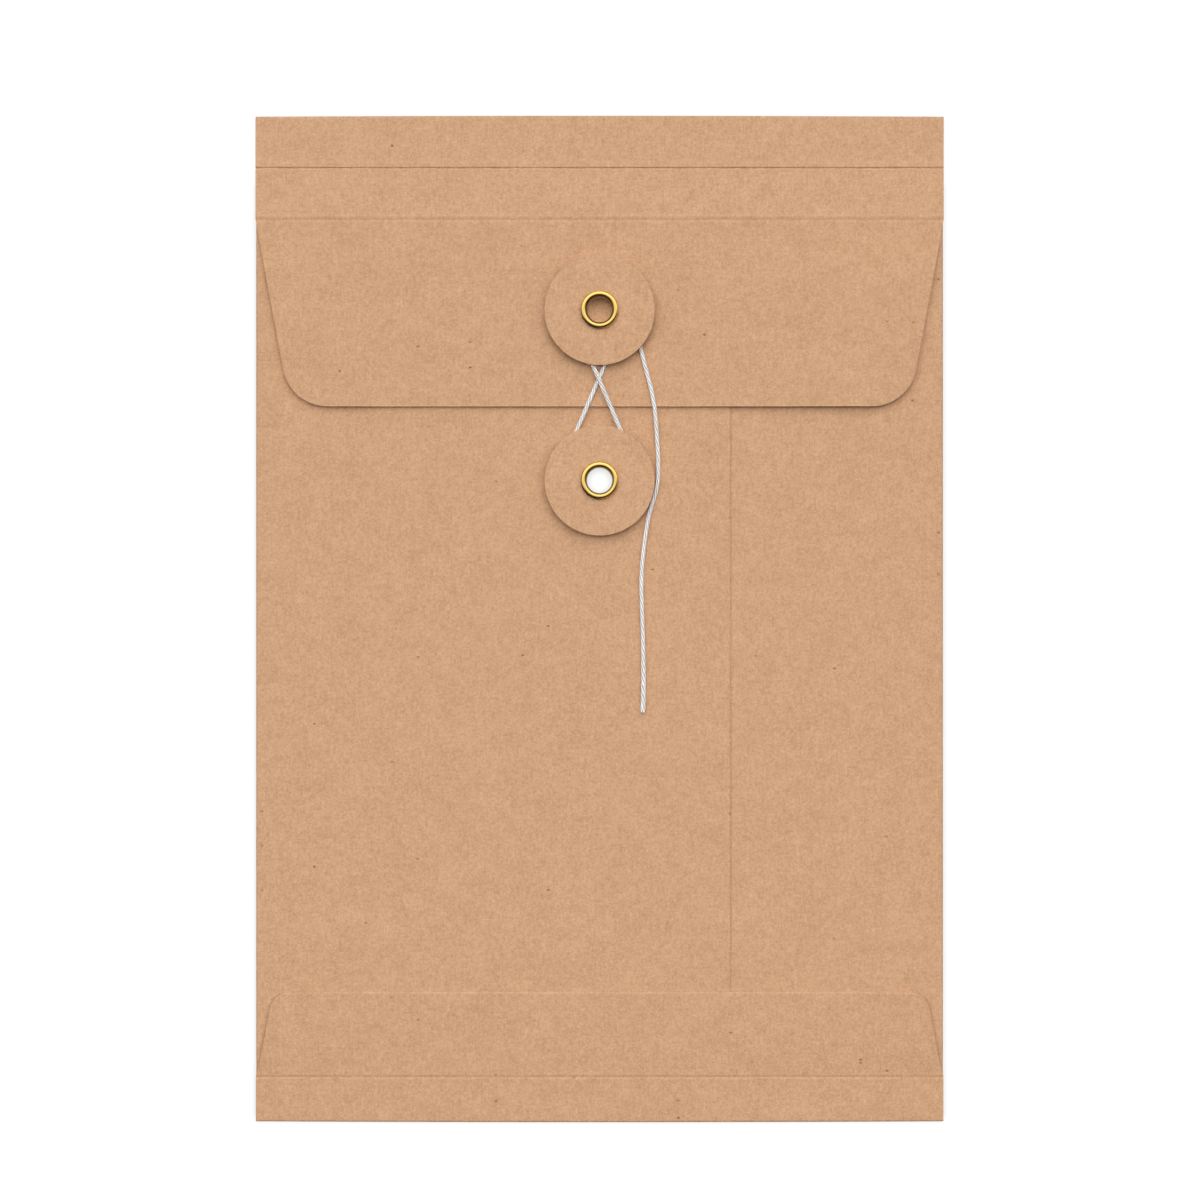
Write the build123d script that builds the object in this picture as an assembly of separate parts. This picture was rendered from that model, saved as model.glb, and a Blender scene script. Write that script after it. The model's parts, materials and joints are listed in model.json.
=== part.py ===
from build123d import *
from math import asin, atan2, cos, degrees, hypot, pi, radians, sin, sqrt, tan
import os

# A kraft string tie envelope lying on its back, front upwards.
# X runs to the right, Y towards the top fold, Z out of the front. Sizes in millimetres.

# Sheet
envelope_width = 165.1
envelope_height = 241.3
paper = 0.3
pocket_room = 0.8
fold_round = 0.5
fold_lip = 0.1
glue_film = 0.06
glue_margin = 2.0
fold_clearance = 0.2
cut_overrun = 2.0

# Lapped front seam, placed from the lower eyelet's backing ring
seam_clearance = 9.35
seam_lap = 12.7
throat_depth = 16.0

# Top flap
flap_depth = 69.6
first_score = 12.2
second_score = 24.9
flap_shoulder = 0.75
flap_slant = 10.6
flap_corner = 10.7

# Bottom flap
bottom_flap_depth = 31.1
bottom_score = 10.8
bottom_slant = 10.3
bottom_corner = 4.2

# Pressed score lines
groove_width = 0.5
groove_depth = 0.12

# Card discs, placed from the flap's lower edge
upper_button_inset = 22.84
lower_button_drop = 17.84
washer_diameter = 26.4
washer_card = 0.7
washer_edge_round = 0.15
washer_play = 0.08

# Eyelets and the rings they clinch on
eyelet_bore = 6.0
eyelet_wall = 0.3
flange_reach = 1.175
flange_wall = 0.75
flange_height = 0.42
flange_play = 0.05
clinch_reach = 0.65
clinch_height = 0.35
hole_play = 0.05
patch_diameter = 19.0
patch_paper = 0.2
flap_clearance = 0.1
peep_margin = 1.0

# String
string_diameter = 1.1
string_rest = 0.03
lower_string_slack = 0.8
knot_room = 0.15
hitch_play = 0.12
knot_width = 3.1
knot_length = 2.0
knot_height = 1.9
knot_round = 0.6
knot_play = 0.15
hitch_drop = 6.63
lower_turn_radius = 9.62
lower_turn_shift = -0.21
lower_turn_lift = 0.07
upper_turn_radius = 6.94
upper_turn_shift = 0.34
crossing_gap = 0.46
lower_rim_rise = 0.55
upper_rim_dip = 0.79
tail_slant = 14.2
tail_lead = 6.5

# Heights worked out from the sheet's layers
half_width = envelope_width / 2
top_edge = envelope_height / 2
bottom_edge = -top_edge
panel_under = paper + pocket_room
panel_top = panel_under + paper
flap_under = panel_top + patch_paper + clinch_height + flap_clearance
flap_top = flap_under + paper

# Places worked out from the flap and the seam
lap_start = patch_diameter / 2 + seam_clearance
seam_x = lap_start + seam_lap
plate_reach = half_width - fold_round - fold_lip
panel_bottom = bottom_edge + paper + fold_clearance
panel_throat = top_edge - throat_depth
flap_edge = top_edge - flap_depth
upper_y = flap_edge + upper_button_inset
lower_y = flap_edge - lower_button_drop

# The right panel dips evenly from its fold until it clears the left panel's free edge, and on to its inner edge
lap_dip = (paper + glue_film) / (plate_reach - seam_x)
bottom_under = panel_top + glue_film
bottom_top = bottom_under + paper

# Eyelet and disc levels
bore_radius = eyelet_bore / 2
barrel_radius = bore_radius + eyelet_wall
hole_radius = barrel_radius + hole_play
upper_washer_under = flap_top + knot_height + knot_room
lower_washer_under = panel_top + string_diameter + lower_string_slack

# String levels
string_radius = string_diameter / 2
flap_string_z = flap_top + string_radius + string_rest
lower_turn_z = panel_top + string_radius + string_rest + lower_turn_lift
hitch_z = flap_top + knot_height / 2 + string_rest
crossing_z = flap_string_z + string_diameter + crossing_gap
hitch_radius = barrel_radius + string_radius + hitch_play

# Where the strands bend between the two discs, as shares of each strand's length
down_strand_shares = (0.0, 0.22, 0.55, 0.907)
up_strand_shares = (0.08, 0.246, 0.572, 0.639, 0.70, 0.92)
bend_share = 0.45

# Free end of the string, from the upper disc to the cut end: hand-chosen points
tail_points = (
    (11.05, 60.10, 2.98),
    (12.60, 54.60, 2.98),
    (13.30, 49.75, 2.98),
    (13.78, 43.85, 2.12),
    (14.12, 38.10, 2.06),
    (13.84, 31.60, 2.06),
    (11.75, 25.60, 2.06),
    (10.50, 18.18, 2.06),
    (9.83, 9.78, 2.06),
    (10.10, 1.60, 2.06),
    (10.32, -7.05, 2.06),
    (10.48, -15.70, 2.06),
    (10.23, -22.30, 2.06),
)


def along_x(profile, radii, x_start, x_end):
    """Carry a closed outline of (y, z) points, with a corner radius each, from one X to another."""
    outline = FilletPolyline([(x_start, y, z) for y, z in profile], radius=radii, close=True)
    return extrude(make_face(outline), amount=x_end - x_start, dir=(1, 0, 0))


def along_y(profile, radii, y_start, y_end):
    """Carry a closed outline of (x, z) points, with a corner radius each, from one Y to another."""
    outline = FilletPolyline([(x, y_start, z) for x, z in profile], radius=radii, close=True)
    return extrude(make_face(outline), amount=y_end - y_start, dir=(0, 1, 0))


def upright(outline, radii, z_start, z_end):
    """Carry a closed outline of (x, y) points, with a corner radius each, from one Z to another."""
    edge = FilletPolyline([(x, y, z_start) for x, y in outline], radius=radii, close=True)
    return extrude(make_face(edge), amount=z_end - z_start, dir=(0, 0, 1))


def ring(outer_radius, inner_radius, y, z_start, height):
    """A flat ring about an upright axis on the envelope's middle line."""
    seat = Pos(0, y, z_start)
    low = (Align.CENTER, Align.CENTER, Align.MIN)
    return seat * (Cylinder(outer_radius, height, align=low) - Cylinder(inner_radius, height, align=low))


def eyelet_hole(radius, y, z_start, z_end):
    """The round cut that an eyelet passes through, running past both faces of the sheet."""
    low = (Align.CENTER, Align.CENTER, Align.MIN)
    height = z_end - z_start + 2 * cut_overrun
    return Pos(0, y, z_start - cut_overrun) * Cylinder(radius, height, align=low)


def score_groove(y, surface_z):
    """A shallow V pressed across the whole width of the sheet's outer face."""
    half = groove_width / 2
    profile = [(y - half, surface_z), (y + half, surface_z), (y, surface_z - groove_depth)]
    return along_x(profile, [0, 0, 0], -half_width - cut_overrun, half_width + cut_overrun)


def back_panel():
    """The back with its standing top fold and the see-through hole behind the lower eyelet."""
    profile = [
        (bottom_edge, 0),
        (top_edge, 0),
        (top_edge, flap_under),
        (top_edge - paper, flap_under),
        (top_edge - paper, paper),
        (bottom_edge, paper),
    ]
    radii = [0, fold_round, 0, 0, fold_round - paper, 0]
    sheet = along_x(profile, radii, -half_width, half_width)
    return sheet - eyelet_hole(bore_radius + peep_margin, lower_y, 0, paper)


def side_fold(side):
    """The low standing fold at one side, from the back up to the front panel; side is -1 for left and 1 for right."""
    profile = [
        (side * half_width, paper),
        (side * half_width, panel_top),
        (side * plate_reach, panel_top),
        (side * plate_reach, panel_under),
        (side * (half_width - paper), panel_under),
        (side * (half_width - paper), paper),
    ]
    radii = [0, fold_round, 0, 0, fold_round - paper, 0]
    return along_y(profile, radii, panel_bottom, panel_throat)


def left_front_panel():
    """The level left side of the front; its free edge laps over the right panel."""
    profile = [
        (-plate_reach, panel_under),
        (-plate_reach, panel_top),
        (seam_x, panel_top),
        (seam_x, panel_under),
    ]
    sheet = along_y(profile, [0, 0, 0, 0], panel_bottom, panel_throat)
    return sheet - eyelet_hole(hole_radius, lower_y, panel_under, panel_top)


def right_panel_top(x):
    """Height of the right panel's outer face."""
    return panel_top - lap_dip * (plate_reach - x)


def right_front_panel():
    """The right side of the front, dipping gently to run under the left panel."""
    inner_top = right_panel_top(lap_start)
    profile = [
        (lap_start, inner_top - paper),
        (lap_start, inner_top),
        (plate_reach, panel_top),
        (plate_reach, panel_under),
    ]
    return along_y(profile, [0, 0, 0, 0], panel_bottom, panel_throat)


def seam_glue():
    """The thin wedge of glue between the two lapped panels."""
    inner = lap_start + glue_margin
    outer = seam_x - glue_margin
    profile = [
        (inner, right_panel_top(inner)),
        (inner, panel_under),
        (outer, panel_under),
        (outer, right_panel_top(outer)),
    ]
    return along_y(profile, [0, 0, 0, 0], panel_bottom + glue_margin, panel_throat - glue_margin)


def slanted_leaf(shoulder_y, edge_y, slant, corner, z_start, z_end, root_y):
    """A leaf of the sheet: full width from its root to its shoulder, then slanted in to a rounded end."""
    taper = abs(edge_y - shoulder_y) * tan(radians(slant))
    outline = [
        (-half_width, root_y),
        (-half_width, shoulder_y),
        (-half_width + taper, edge_y),
        (half_width - taper, edge_y),
        (half_width, shoulder_y),
        (half_width, root_y),
    ]
    return upright(outline, [0, 0, corner, corner, 0, 0], z_start, z_end)


def bottom_flap():
    """The sheet folded up at the bottom edge and glued over both front panels."""
    score_y = bottom_edge + bottom_score
    edge_y = bottom_edge + bottom_flap_depth
    profile = [
        (bottom_edge, paper),
        (bottom_edge, bottom_top),
        (edge_y, bottom_top),
        (edge_y, bottom_under),
        (bottom_edge + paper, bottom_under),
        (bottom_edge + paper, paper),
    ]
    radii = [0, fold_round, 0, 0, fold_round - paper, 0]
    sheet = along_x(profile, radii, -half_width, half_width)
    leaf = slanted_leaf(score_y, edge_y, bottom_slant, bottom_corner, 0, bottom_top, bottom_edge)
    return (sheet & leaf) - score_groove(score_y, bottom_top)


def bottom_flap_glue():
    """The glue under the bottom flap's leaf, filled out to both front panels."""
    edge_y = bottom_edge + bottom_flap_depth
    taper = bottom_flap_depth * tan(radians(bottom_slant))
    reach = half_width - taper - glue_margin
    step = seam_x + fold_clearance
    profile = [
        (-reach, panel_top),
        (-reach, bottom_under),
        (reach, bottom_under),
        (reach, right_panel_top(reach)),
        (step, right_panel_top(step)),
        (step, panel_top),
    ]
    glue_start = bottom_edge + bottom_score + glue_margin
    return along_y(profile, [0, 0, 0, 0, 0, 0], glue_start, edge_y - bottom_corner)


def flap_band(y_start, y_end):
    """A full-width strip of the top flap, between two of its creases."""
    outline = [(-half_width, y_start), (half_width, y_start), (half_width, y_end), (-half_width, y_end)]
    return upright(outline, [0, 0, 0, 0], flap_under, flap_top)


def flap_first_band():
    """The strip from the top fold to the first score."""
    score_y = top_edge - first_score
    return flap_band(score_y, top_edge) - score_groove(score_y, flap_top)


def flap_second_band():
    """The strip between the two scores."""
    upper_score = top_edge - first_score
    lower_score = top_edge - second_score
    strip = flap_band(lower_score, upper_score)
    return strip - score_groove(upper_score, flap_top) - score_groove(lower_score, flap_top)


def flap_leaf():
    """The rest of the top flap, with the upper eyelet's hole."""
    score_y = top_edge - second_score
    shoulder_y = score_y - flap_shoulder
    leaf = slanted_leaf(shoulder_y, flap_edge, flap_slant, flap_corner, flap_under, flap_top, score_y)
    return leaf - score_groove(score_y, flap_top) - eyelet_hole(hole_radius, upper_y, flap_under, flap_top)


def washer(y, z_start):
    """A card disc that turns on its eyelet's barrel."""
    disc = ring(washer_diameter / 2, barrel_radius + washer_play, y, z_start, washer_card)
    rims = disc.edges().filter_by(GeomType.CIRCLE).sort_by(SortBy.RADIUS)[-2:]
    return fillet(rims, washer_edge_round)


def backing_patch(y, sheet_under):
    """The paper ring behind the sheet that an eyelet clinches on."""
    return ring(patch_diameter / 2, hole_radius, y, sheet_under - patch_paper, patch_paper)


def eyelet(y, sheet_under, washer_under):
    """A tube with a rolled flange over the disc and a rolled clinch under the patch."""
    clinch_z = sheet_under - patch_paper
    flange_z = washer_under + washer_card + flange_play
    roll_z = flange_z + flange_wall
    flange_radius = barrel_radius + flange_reach
    clinch_radius = barrel_radius + clinch_reach
    flange_crown = ((bore_radius + flange_radius) / 2, 0, roll_z + flange_height)
    clinch_crown = ((bore_radius + clinch_radius) / 2, 0, clinch_z - clinch_height)
    outline = [
        Line((bore_radius, 0, clinch_z), (bore_radius, 0, roll_z)),
        ThreePointArc((bore_radius, 0, roll_z), flange_crown, (flange_radius, 0, roll_z)),
        Line((flange_radius, 0, roll_z), (flange_radius, 0, flange_z)),
        Line((flange_radius, 0, flange_z), (barrel_radius, 0, flange_z)),
        Line((barrel_radius, 0, flange_z), (barrel_radius, 0, clinch_z)),
        Line((barrel_radius, 0, clinch_z), (clinch_radius, 0, clinch_z)),
        ThreePointArc((clinch_radius, 0, clinch_z), clinch_crown, (bore_radius, 0, clinch_z)),
    ]
    return Pos(0, y, 0) * revolve(make_face(outline), Axis.Z)


def on_circle(centre, radius, angle, z):
    """A point at an angle in degrees on a level circle."""
    return (centre[0] + radius * cos(radians(angle)), centre[1] + radius * sin(radians(angle)), z)


def turn(centre, radius, start, sweep_angle, z):
    """Two arcs that carry the string round a disc's middle on one level."""
    angles = [start + sweep_angle * share for share in (0, 1 / 4, 1 / 2, 3 / 4, 1)]
    points = [on_circle(centre, radius, angle, z) for angle in angles]
    return [ThreePointArc(*points[0:3]), ThreePointArc(*points[2:5])]


def along(start, angle, distance, z):
    """The point at a distance from a start, in a level direction given in degrees."""
    return (start[0] + distance * cos(radians(angle)), start[1] + distance * sin(radians(angle)), z)


def rounded_run(points):
    """Straight runs with the largest tangent arcs that the shorter run at each corner allows."""
    corners = [Vector(*point) for point in points]
    radii = []
    for before, corner, after in zip(corners, corners[1:], corners[2:]):
        bend = (corner - before).get_angle(after - corner)
        shorter = min((corner - before).length, (after - corner).length)
        radii.append(bend_share * shorter / tan(radians(bend / 2)))
    return FilletPolyline(points, radius=radii), radii


def string_tube(path):
    """Sweep the string's round section along a path."""
    section = Plane(origin=path @ 0, z_dir=path % 0) * Circle(string_radius)
    return sweep(section, path=path)


def winding_path():
    """The hitch, the strand down, the turn round the lower disc, the strand up and the turn over the upper disc."""
    upper = (0, upper_y)
    lower = (lower_turn_shift, lower_y)
    crown = (upper_turn_shift, upper_y)

    hitch_start = (hitch_radius - knot_width / 2, upper_y - hitch_radius, hitch_z)
    hitch_lead = Line(hitch_start, (0, upper_y - hitch_radius, hitch_z))
    hitch = turn(upper, hitch_radius, -90, -270, hitch_z)

    # The strand down starts below the knot and meets the lower turn on its left side
    bend = (hitch_radius, upper_y - hitch_drop)
    reach = hypot(lower[0] - bend[0], lower[1] - bend[1])
    heading = degrees(atan2(lower[1] - bend[1], lower[0] - bend[0]) - asin(lower_turn_radius / reach))
    length = sqrt(reach ** 2 - lower_turn_radius ** 2)
    levels = (hitch_z, flap_string_z, flap_string_z, lower_turn_z)
    down = [(hitch_radius, upper_y, hitch_z)]
    down += [along(bend, heading, share * length, z) for share, z in zip(down_strand_shares, levels)]
    down.append(along(bend, heading, length, lower_turn_z))
    down_run, down_radii = rounded_run(down)

    # The strand up leaves the lower turn on its right side and meets the upper turn on its left side
    span = hypot(crown[0] - lower[0], crown[1] - lower[1])
    cross = asin((lower_turn_radius + upper_turn_radius) / span)
    rise = degrees(atan2(crown[1] - lower[1], crown[0] - lower[0]) + cross)
    lower_turn = turn(lower, lower_turn_radius, heading + 270, rise - heading, lower_turn_z)
    leave = on_circle(lower, lower_turn_radius, rise - 90, lower_turn_z)
    length = span * cos(cross)
    levels = (
        lower_turn_z,
        lower_turn_z + lower_rim_rise,
        crossing_z,
        crossing_z,
        crossing_z - upper_rim_dip,
        hitch_z,
    )
    up = [leave]
    up += [along(leave, rise, share * length, z) for share, z in zip(up_strand_shares, levels)]
    up.append(along(leave, rise, length, hitch_z))
    up_run, up_radii = rounded_run(up)

    upper_turn = turn(crown, upper_turn_radius, rise + 90, tail_slant - rise - 90, hitch_z)
    exit_point = on_circle(crown, upper_turn_radius, tail_slant, hitch_z)
    tail_start = along(exit_point, tail_slant - 90, string_diameter, hitch_z)
    pieces = [hitch_lead, *hitch, *down_run.edges(), *lower_turn, *up_run.edges(), *upper_turn]
    pieces.append(Line(exit_point, tail_start))
    return Wire(pieces), tail_start, down_radii + up_radii


def least_gap(path):
    """The smallest clear distance between stretches of the winding that aren't neighbours."""
    count = int(path.length / (string_radius / 2))
    points = [path.position_at(index / count) for index in range(count + 1)]
    apart = int(pi * string_diameter / (path.length / count)) + 1
    pairs = ((a, b) for index, a in enumerate(points) for b in points[index + apart:])
    return min((a - b).length for a, b in pairs) - string_diameter


def string_knot():
    """The rounded hitch that ties the string's end round its own standing part."""
    centre = Pos(hitch_radius, upper_y - hitch_radius, hitch_z)
    lump = fillet(Box(knot_width, knot_length, knot_height).edges().filter_by(Axis.Y), knot_round)
    bore = Rot(90, 0, 0) * Cylinder(string_radius + knot_play, knot_length + 2 * cut_overrun)
    return centre * (lump - bore)


winding_line, tail_start, winding_radii = winding_path()
tail_lead_end = along(tail_start, tail_slant - 90, tail_lead, hitch_z)
tail_line, tail_radii = rounded_run([tail_start, tail_lead_end, *tail_points])

nodes = {
    "back_panel": back_panel(),
    "left_side_fold": side_fold(-1),
    "left_front_panel": left_front_panel(),
    "right_side_fold": side_fold(1),
    "right_front_panel": right_front_panel(),
    "seam_glue": seam_glue(),
    "bottom_flap": bottom_flap(),
    "bottom_flap_glue": bottom_flap_glue(),
    "lower_backing_patch": backing_patch(lower_y, panel_under),
    "lower_eyelet": eyelet(lower_y, panel_under, lower_washer_under),
    "lower_washer": washer(lower_y, lower_washer_under),
    "flap_first_band": flap_first_band(),
    "flap_second_band": flap_second_band(),
    "flap_leaf": flap_leaf(),
    "upper_backing_patch": backing_patch(upper_y, flap_under),
    "upper_eyelet": eyelet(upper_y, flap_under, upper_washer_under),
    "upper_washer": washer(upper_y, upper_washer_under),
    "string_knot": string_knot(),
    "string_winding": string_tube(winding_line),
    "string_tail": string_tube(tail_line),
}

os.makedirs("parts", exist_ok=True)
for name, shape in nodes.items():
    export_step(shape, f"parts/{name}.step")

section_area = pi * string_radius ** 2
print("winding bend radii", [round(radius, 1) for radius in winding_radii])
print("tail bend radii", [round(radius, 1) for radius in tail_radii])
print("winding length", round(winding_line.length, 1), "least gap to itself", round(least_gap(winding_line), 2))
print("tail length", round(tail_line.length, 1))
print("winding volume ratio", round(nodes["string_winding"].volume / (section_area * winding_line.length), 4))
print("tail volume ratio", round(nodes["string_tail"].volume / (section_area * tail_line.length), 4))
print("flap hinge", (top_edge, flap_under), "scores", top_edge - first_score, top_edge - second_score, flap_top)
print("discs", upper_y, lower_y)
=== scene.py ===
import json
from math import asin, atan2, cos, degrees, hypot, pi, radians, sin, sqrt, tan

import bpy
import numpy as np
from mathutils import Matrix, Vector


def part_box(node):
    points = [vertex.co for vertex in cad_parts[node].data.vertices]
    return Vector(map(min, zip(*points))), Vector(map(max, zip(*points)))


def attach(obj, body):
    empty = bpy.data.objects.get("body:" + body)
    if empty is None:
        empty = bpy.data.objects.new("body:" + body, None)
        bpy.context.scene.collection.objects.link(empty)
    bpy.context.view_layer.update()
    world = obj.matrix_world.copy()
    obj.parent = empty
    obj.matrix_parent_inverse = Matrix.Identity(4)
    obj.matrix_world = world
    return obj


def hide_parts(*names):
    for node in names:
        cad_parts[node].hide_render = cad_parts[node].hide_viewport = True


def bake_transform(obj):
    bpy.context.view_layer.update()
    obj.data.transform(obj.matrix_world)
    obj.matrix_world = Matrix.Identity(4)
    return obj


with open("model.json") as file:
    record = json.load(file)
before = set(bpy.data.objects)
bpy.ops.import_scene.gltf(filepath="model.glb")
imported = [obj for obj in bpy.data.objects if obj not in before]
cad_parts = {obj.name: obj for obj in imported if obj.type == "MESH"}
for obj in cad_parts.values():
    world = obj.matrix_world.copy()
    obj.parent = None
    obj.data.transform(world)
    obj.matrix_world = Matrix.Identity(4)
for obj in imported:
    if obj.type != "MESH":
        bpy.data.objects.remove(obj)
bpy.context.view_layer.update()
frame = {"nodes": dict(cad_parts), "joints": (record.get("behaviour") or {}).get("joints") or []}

# A kraft string tie envelope, dressed over its CAD frame. Lengths below are in millimetres.
MM = 0.001
LOW, HIGH = 0, 1
X, Y, Z = 0, 1, 2


def box_side(solid, end, axis):
    """Where a CAD solid's box starts or ends along an axis."""
    return round(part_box(solid)[end][axis] / MM, 3)


def thickness(solid):
    """A level CAD solid's thickness."""
    return round(box_side(solid, HIGH, Z) - box_side(solid, LOW, Z), 3)


# The joints lie on the scores and at the discs' middles
joint_y = {joint["name"]: round(joint["pos_m"][Y] / MM, 3) for joint in frame["joints"]}

# Kraft sheet
PAPER = thickness("flap_leaf")
HALF_WIDTH = box_side("back_panel", HIGH, X)
TOP_EDGE = box_side("back_panel", HIGH, Y)
BOTTOM_EDGE = box_side("back_panel", LOW, Y)
BACK_MID = PAPER / 2
PANEL_MID = box_side("left_front_panel", HIGH, Z) - PAPER / 2
FLAP_MID = box_side("flap_leaf", HIGH, Z) - PAPER / 2
FOLD_RADIUS = 0.40
SHEET_GAP = 0.03
END_BOW = 0.22
BOW_START = 111.0
BOW_EASE = 9.0
EDGE_CELL = 0.2
PALE_EDGE = 0.05
GRAIN_SHIFT = 7.0
FLECK_SHIFT = (31.0, 17.0, 0.0)
GRAIN_DEPTH = 0.03
BACK_KEEP = 70.0
HOLE_HALF = 7.5
HOLE_CELLS = 12

# A pressed score's lips, and how its depth varies along it: (share, turns in radians a millimetre)
LIP_SHARE = 0.25
LIP_SPREAD = 2.2
SLOW_WAVE = (0.12, 0.19)
QUICK_WAVE = (0.08, 0.47)

# Front panels; the seam shows a little inside the solid's edge
PANEL_BOTTOM = box_side("left_front_panel", LOW, Y)
THROAT = box_side("left_front_panel", HIGH, Y)
THROAT_STEP = 0.01
SEAM_TRIM = 0.10
SEAM_X = box_side("left_front_panel", HIGH, X) - SEAM_TRIM
LAP_START = box_side("right_front_panel", LOW, X)
SEAM_LIFT = 0.15
SEAM_CURL = 3.0
SEAM_FADE = 10.0
SEAM_CELL = 0.25
# Painted shade on the seam's free edge: how much darker it is
SEAM_SHADE = 0.17

# Top flap; a groove is (half width, depth) and a lift is (height, start, length of its ease)
FIRST_SCORE = joint_y["first_score_bend"]
SECOND_SCORE = joint_y["second_score_bend"]
FIRST_PRESS = 108.22
FIRST_GROOVE = (0.22, 0.30)
SECOND_PRESS = 95.82
SECOND_GROOVE = (0.42, 0.14)
BEND_REACH = 1.0
FLAP_SHOULDER = 96.0
FLAP_EDGE = box_side("flap_leaf", LOW, Y)
FLAP_SLANT = 10.6
FLAP_CORNER = 10.7
LEFT_LIFT = (0.25, 38.0, 38.0)
RIGHT_LIFT = (0.70, 8.0, 60.0)
CORNER_LIFT = (0.28, 50.0, 22.0)
LIFT_EASE = 16.0
EDGE_CURL = 0.08
CURL_WIDTH = 0.35
LEAF_KEEP = 50.0
FIRST_BAND_TONE = 0.020
SECOND_BAND_TONE = 0.032

# Bottom flap
BOTTOM_SCORE = -109.85
BOTTOM_FLAP_EDGE = box_side("bottom_flap", HIGH, Y)
BOTTOM_SLANT = 11.0
BOTTOM_CORNER = 4.6
BOTTOM_PRESS = -109.97
BOTTOM_GROOVE = (0.34, 0.16)
BOTTOM_LIFT = (0.36, 62.0, 18.0)
BOTTOM_LIFT_EASE = 5.0
SINK_EASE = 8.0
SINK_RISE = 6.0
EDGE_WEAR = 0.14
WEAR_WIDTH = 0.5
# The bottom flap's painted light: a painted highlight along its upper cut edge, painted shade along its slanted
# sides
EDGE_HIGHLIGHT_TONE = 0.13
EDGE_HIGHLIGHT_WIDTH = 0.4
SIDE_SHADE = 0.35
SIDE_SHADE_EASE = 4.0
LEFT_SHADE_MORE = 0.15
BOTTOM_KEEP = 60.0
BOTTOM_CELL = 0.4
SEAM_SPAN = (6.0, 1.0)
BOTTOM_TONE = -0.015

# Glue films
GLUE_INSET = 2.0
GLUE_EDGE_INSET = 4.0
GLUE_LEFT = -60.0

# Discs and eyelets
UPPER_Y = joint_y["upper_disc_turn"]
LOWER_Y = joint_y["lower_disc_turn"]
DISC_RADIUS = box_side("upper_washer", HIGH, X)
DISC_BORE = 3.38
DISC_CARD = thickness("upper_washer")
DISC_ROUND = 0.14
DISC_PRESS = 0.12
PRESS_START = 4.3
PRESS_EASE = 1.1
PRESS_LINES = (4.0, 6.0)
FLAT_START = 6.4
RIM_CELL = 1.0
UNDER_CELL = 1.5
UPPER_DISC_Z = box_side("upper_washer", LOW, Z)
LOWER_DISC_Z = box_side("lower_washer", LOW, Z)
EYELET_BORE = 3.00
EYELET_BARREL = 3.30
EYELET_CREST = 3.80
EYELET_FLANGE = box_side("upper_eyelet", HIGH, X)
EYELET_RISE = 1.17
EYELET_FLARE = 1.2
EYELET_ROLL = 0.6
EYELET_CLINCH = 3.95
CLINCH_ROLL = 0.35
UPPER_CLINCH_Z = box_side("upper_backing_patch", LOW, Z)
LOWER_CLINCH_Z = box_side("lower_backing_patch", LOW, Z)
FLANGE_GAP = 0.05
FLANGE_REST = 0.045
FLANGE_LIP = (0.12, 0.125)
BORE_EASE = 0.03
# Painted shade and dark reflection on the eyelet: in the flare, and at the rim's foot, most at the near left
FLARE_DARK = 0.72
FLARE_EDGE = 3.52
FOOT_START = 4.34
DARK_EASE = 0.12
SHADE_TURN = 225
SHADE_START = 0.2
FOOT_SHADE_LEAST = 0.25
SHADE_WIDER = 0.12
HOLE_RADIUS = 3.35
PEEP_RADIUS = 4.00

# String
STRING_STEP = 0.2
STRANDS = 4
STRAND_RADIUS = 0.23
STRAND_ORBIT = 0.28
STRAND_LAY = 7.4
SWELL_SHARE = 0.22
SWELL_LENGTH = 20.0
HITCH_RADIUS = 3.97
HITCH_Z = 3.33
HITCH_TAIL = 1.55
STRAND_SHIFT = 9.0
FURROW_EDGE = 0.36
CROWN_EDGE = 0.52
FILAMENT_DEPTH = 0.04
KNOT_HALF = (1.5, 1.0, 0.93)
KNOT_RIDGE = 0.10
KNOT_SHIFT = 40.0


def smooth(t):
    """Ease from 0 to 1: three t squared less two t cubed, with t kept between 0 and 1."""
    t = np.clip(t, 0, 1)
    return t * t * (3 - 2 * t)


def lift_at(place, lift):
    """Height of a lifted stretch at a place: nothing up to its start, then an ease to its full height."""
    height, start, ease = lift
    return height * smooth((place - start) / ease)


def spread(*stops):
    """Grid lines from (place, cells to the next place) stops, evenly spaced between each two places."""
    runs = [
        np.linspace(a, b, cells, endpoint=False)
        for (a, cells), (b, _) in zip(stops, stops[1:])
    ]
    return np.concatenate(runs + [[stops[-1][0]]])


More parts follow.
